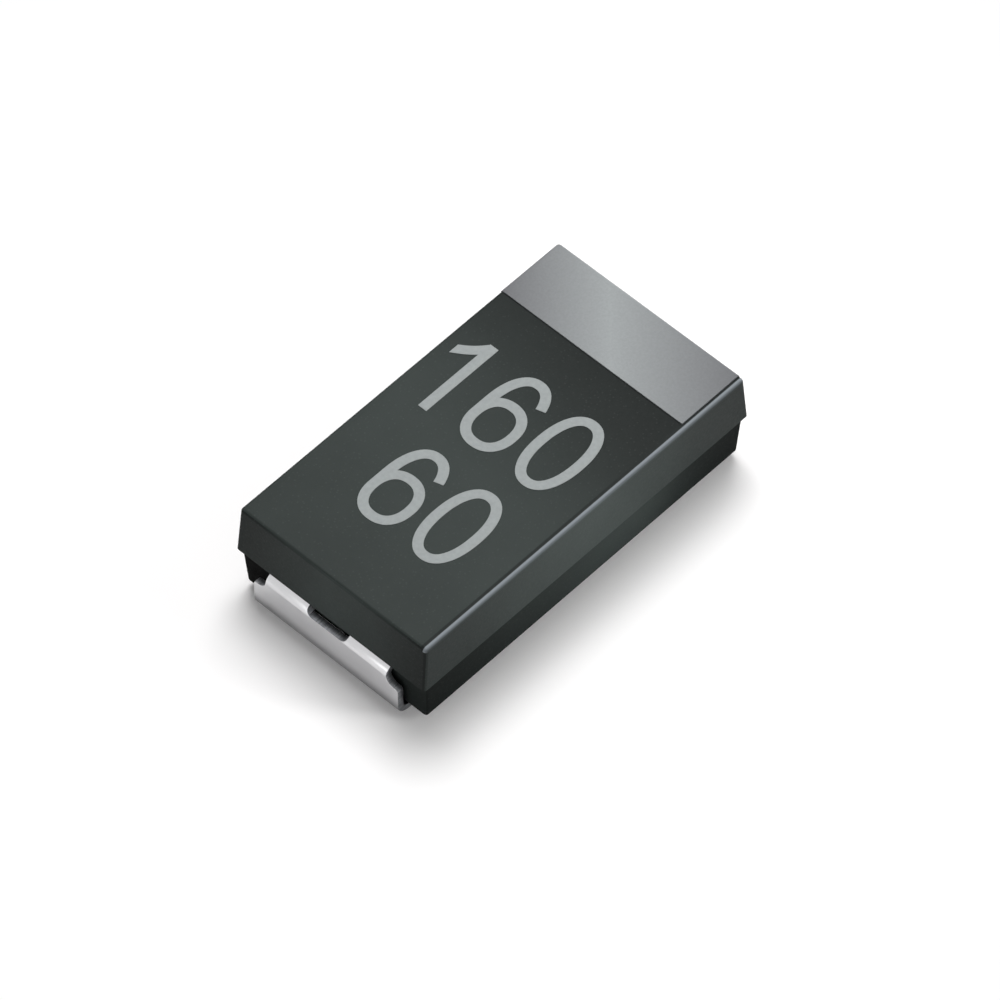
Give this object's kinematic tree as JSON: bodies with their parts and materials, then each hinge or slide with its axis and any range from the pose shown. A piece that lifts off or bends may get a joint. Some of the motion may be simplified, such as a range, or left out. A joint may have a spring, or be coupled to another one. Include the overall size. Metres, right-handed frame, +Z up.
{
  "type": "tantalum capacitor",
  "caption": "Moulded chip capacitor: a low black rectangular case with a grey polarity band on top and a formed flat terminal folded under each end.",
  "frame": {"origin": "on the board plane under the undersides of both terminal feet, at the middle of the part's length and width", "axes": "+Z up from the board through the case; +X along the case towards the anode, the end with the grey band; +Y across the case"},
  "size_m": [0.006, 0.0032, 0.0016],
  "materials": {
    "moulded_case": "satin",
    "polarity_band": "satin",
    "cathode_terminal": "satin",
    "anode_terminal": "satin",
    "anode_slug": "matte",
    "riser_wire": "satin",
    "insulating_washer": "satin",
    "dioxide_coat": "matte",
    "graphite_coat": "matte",
    "silver_coat": "satin",
    "silver_adhesive": "matte",
    "weld_bead": "satin"
  },
  "bodies": {
    "root": {"moulded_case": "moulded_case", "polarity_band": "polarity_band", "cathode_terminal": "cathode_terminal", "anode_terminal": "anode_terminal", "anode_slug": "anode_slug", "riser_wire": "riser_wire", "insulating_washer": "insulating_washer", "dioxide_coat": "dioxide_coat", "graphite_coat": "graphite_coat", "silver_coat": "silver_coat", "silver_adhesive": "silver_adhesive", "weld_bead": "weld_bead"}
  },
  "joints": []
}
